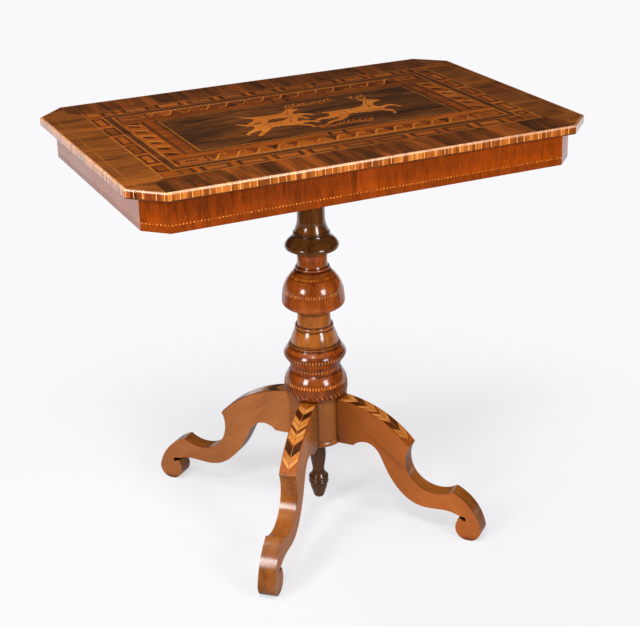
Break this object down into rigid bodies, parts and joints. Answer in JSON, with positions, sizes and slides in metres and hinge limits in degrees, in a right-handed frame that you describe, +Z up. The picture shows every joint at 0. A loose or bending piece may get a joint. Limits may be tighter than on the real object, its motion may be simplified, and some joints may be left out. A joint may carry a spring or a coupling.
{
  "type": "occasional table",
  "caption": "Pedestal occasional table: canted rectangular marquetry top over a shallow frieze, turned and inlaid pillar, scrolled legs and a drop finial.",
  "frame": {"origin": "on the floor under the pillar's axis, the middle of the top's outline", "axes": "+Z up, +X along the long side of the top, front long side towards -Y"},
  "size_m": [0.784, 0.542, 0.74],
  "materials": {
    "walnut_legs": "glossy French polish, warm brown walnut",
    "turned_walnut": "glossy French polish, red-brown turned walnut",
    "dark_walnut": "glossy French polish, dark walnut",
    "border_walnut": "glossy French polish, crossbanded walnut",
    "herringbone": "glossy French polish, herringbone of tan and dark leaves",
    "inlay_tan": "glossy French polish, orange-tan fruitwood inlay",
    "light_string": "glossy French polish, pale boxwood stringing",
    "edge_blocks": "glossy French polish, alternating light and dark blocks",
    "frieze_walnut": "glossy French polish, red-brown veneer with upright grain",
    "carcase_wood": "bare planed softwood, aged",
    "screw_steel": "dull steel"
  },
  "bodies": {
    "root": {"base_inlay": "inlay_tan", "bearer_left": "carcase_wood", "bearer_right": "carcase_wood", "bulb_inlay": "inlay_tan", "centre_panel": "dark_walnut", "column_base": "turned_walnut", "column_bulb": "turned_walnut", "column_cone": "turned_walnut", "column_neck": "turned_walnut", "corner_posts": "carcase_wood", "corner_squares": "inlay_tan", "corner_veneers": "frieze_walnut", "crossband_back": "dark_walnut", "crossband_front": "dark_walnut", "crossband_left": "border_walnut", "crossband_right": "border_walnut", "dark_band": "dark_walnut", "dark_fillets": "dark_walnut", "drop_finial": "dark_walnut", "edge_band_back": "edge_blocks", "edge_band_corners": "edge_blocks", "edge_band_front": "edge_blocks", "edge_band_left": "edge_blocks", "edge_band_right": "edge_blocks", "frame_strings": "light_string", "frieze_foot_band": "frieze_walnut", "frieze_string": "light_string", "frieze_veneer_back": "frieze_walnut", "frieze_veneer_front": "frieze_walnut", "frieze_veneer_left": "frieze_walnut", "frieze_veneer_right": "frieze_walnut", "glue_blocks": "carcase_wood", "hub": "turned_walnut", "hub_disc": "turned_walnut", "inner_stripes": "inlay_tan", "key_bands": "inlay_tan", "knee_veneer_back_left": "herringbone", "knee_veneer_back_right": "herringbone", "knee_veneer_front_left": "herringbone", "knee_veneer_front_right": "herringbone", "leg_back_left": "walnut_legs", "leg_back_right": "walnut_legs", "leg_front_left": "walnut_legs", "leg_front_right": "walnut_legs", "margin_strings": "light_string", "margins": "border_walnut", "outer_string": "light_string", "panel_string": "light_string", "pillar_plate": "carcase_wood", "rail_back": "carcase_wood", "rail_front": "carcase_wood", "rail_left": "carcase_wood", "rail_right": "carcase_wood", "rope_bands": "inlay_tan", "scroll_bands": "inlay_tan", "tenon_wedge": "carcase_wood", "top_board": "carcase_wood", "top_screws": "screw_steel"}
  },
  "joints": []
}
